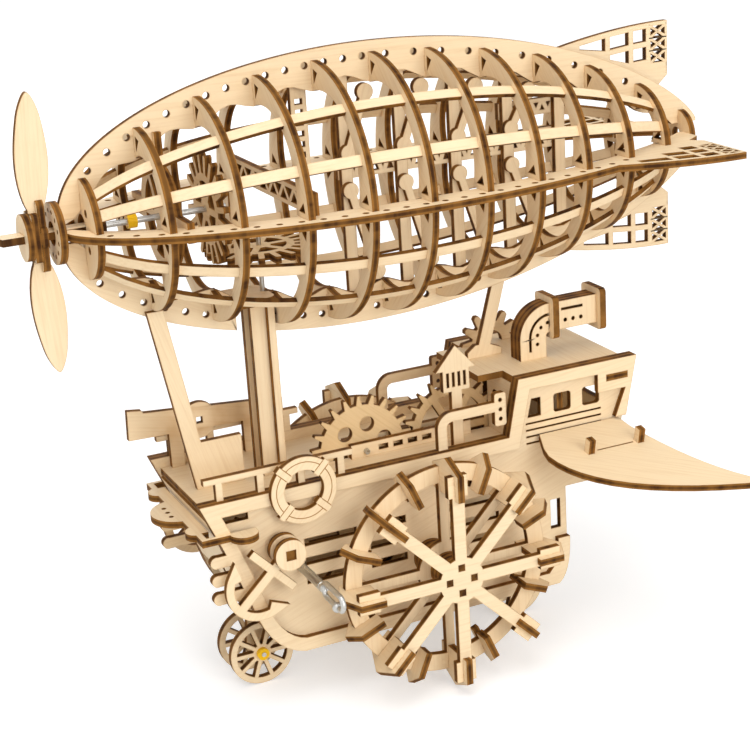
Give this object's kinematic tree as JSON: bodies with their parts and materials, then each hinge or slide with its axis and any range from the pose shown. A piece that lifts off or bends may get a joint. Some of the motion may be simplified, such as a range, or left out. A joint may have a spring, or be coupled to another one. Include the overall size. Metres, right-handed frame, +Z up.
{
  "type": "airship model",
  "caption": "Laser-cut plywood airship model: ribbed balloon, paddle-wheel hull, and a gear train that turns paddles and propeller together.",
  "frame": {"origin": "on the floor under the paddle axle, at mid length on the centre plane", "axes": "+X towards the tail (the bow and propeller are at -X), +Y to starboard, +Z up"},
  "size_m": [0.32, 0.2028, 0.2712],
  "materials": {
    "birch_ply": "matte",
    "birch_gear": "matte",
    "steel": "satin",
    "yellow_cap": "gloss"
  },
  "bodies": {
    "airship": {"keel_top": "birch_ply", "keel_bottom": "birch_ply", "waterline_plates": "birch_ply", "upper_ribs": "birch_ply", "lower_ribs": "birch_ply", "stringers": "birch_ply", "tail_fins": "birch_ply", "cross_frames": "birch_ply", "cross_girder": "birch_ply", "king_posts": "birch_ply", "strut_arms": "birch_ply", "truss_rails": "birch_ply", "gear_platform": "birch_ply", "front_mast": "birch_ply", "middle_mast": "birch_ply", "rear_mast": "birch_ply", "hull_sides": "birch_ply", "hull_borders": "birch_ply", "hull_floor": "birch_ply", "bow_plate": "birch_ply", "wing_frames": "birch_ply", "wings": "birch_ply", "main_deck": "birch_ply", "bow_fender": "birch_ply", "deck_rails": "birch_ply", "signal_house": "birch_ply", "cabin_plates": "birch_ply", "roof_crest": "birch_ply", "exhaust_pipe": "birch_ply", "life_ring": "birch_ply", "deck_gun": "birch_ply", "anchor_drums": "birch_ply", "gear_pins": "steel", "gear_bearings": "birch_ply", "wheel_legs": "birch_ply"},
    "paddle_drive": {"paddle_axle": "steel", "axle_gears": "birch_gear", "paddle_spokes": "birch_ply", "paddle_rims": "birch_ply", "paddle_blades": "birch_ply", "paddle_beams": "birch_ply"},
    "motor": {"motor_gear": "birch_gear"},
    "deck_front": {"deck_gear_front": "birch_gear"},
    "deck_rear": {"deck_gear_rear": "birch_gear"},
    "upright_drive": {"drive_shaft": "steel", "pinion": "birch_gear", "level_gear": "birch_gear"},
    "propeller": {"propeller_hub": "birch_ply", "nose_shaft": "birch_ply", "propeller_blades": "birch_ply", "propeller_shaft": "steel", "shaft_bush": "yellow_cap", "crown_gear": "birch_gear"},
    "front_wheelset": {"front_wheels": "birch_ply", "front_axle": "steel"},
    "rear_wheelset": {"rear_wheels": "birch_ply", "rear_axle": "steel"},
    "key": {"winding_key": "steel"},
    "port_anchor": {"anchor_port": "birch_ply"},
    "starboard_anchor": {"anchor_starboard": "birch_ply"}
  },
  "joints": [
    {"name": "paddle_spin", "type": "hinge", "parent": "airship", "child": "paddle_drive", "pos_m": [0, 0, 0.054], "axis": [0, 1, 0], "continuous": true},
    {"name": "motor_spin", "type": "hinge", "parent": "airship", "child": "motor", "pos_m": [-0.05372, -0.01, 0.0595], "axis": [0, 1, 0], "continuous": true},
    {"name": "deck_front_spin", "type": "hinge", "parent": "airship", "child": "deck_front", "pos_m": [-0.01573, -0.004, 0.09723], "axis": [0, 1, 0], "continuous": true},
    {"name": "deck_rear_spin", "type": "hinge", "parent": "airship", "child": "deck_rear", "pos_m": [0.02827, -0.004, 0.09723], "axis": [0, 1, 0], "continuous": true},
    {"name": "upright_spin", "type": "hinge", "parent": "airship", "child": "upright_drive", "pos_m": [-0.05372, 0, 0.14], "axis": [0, 0, 1], "continuous": true},
    {"name": "propeller_spin", "type": "hinge", "parent": "airship", "child": "propeller", "pos_m": [-0.14, 0, 0.212], "axis": [1, 0, 0], "continuous": true},
    {"name": "front_wheel_spin", "type": "hinge", "parent": "airship", "child": "front_wheelset", "pos_m": [-0.071, 0, 0.0145], "axis": [0, 1, 0], "continuous": true},
    {"name": "rear_wheel_spin", "type": "hinge", "parent": "airship", "child": "rear_wheelset", "pos_m": [0.055, 0, 0.0145], "axis": [0, 1, 0], "continuous": true},
    {"name": "key_turn", "type": "hinge", "parent": "airship", "child": "key", "pos_m": [-0.0585, -0.04, 0.062], "axis": [0, 1, 0], "continuous": true},
    {"name": "port_anchor_swing", "type": "hinge", "parent": "airship", "child": "port_anchor", "pos_m": [-0.0671, -0.0397, 0.074], "axis": [0, 1, 0], "range_deg": [-6, 10]},
    {"name": "starboard_anchor_swing", "type": "hinge", "parent": "airship", "child": "starboard_anchor", "pos_m": [-0.0671, 0.0397, 0.074], "axis": [0, 1, 0], "range_deg": [-6, 10]}
  ],
  "couplings": [
    {"joint": "motor_spin", "follows": "paddle_spin", "ratio": -0.8},
    {"joint": "deck_front_spin", "follows": "paddle_spin", "ratio": -1.0909},
    {"joint": "deck_rear_spin", "follows": "paddle_spin", "ratio": 1.0909},
    {"joint": "upright_spin", "follows": "paddle_spin", "ratio": -2.4},
    {"joint": "propeller_spin", "follows": "paddle_spin", "ratio": 2.4}
  ]
}
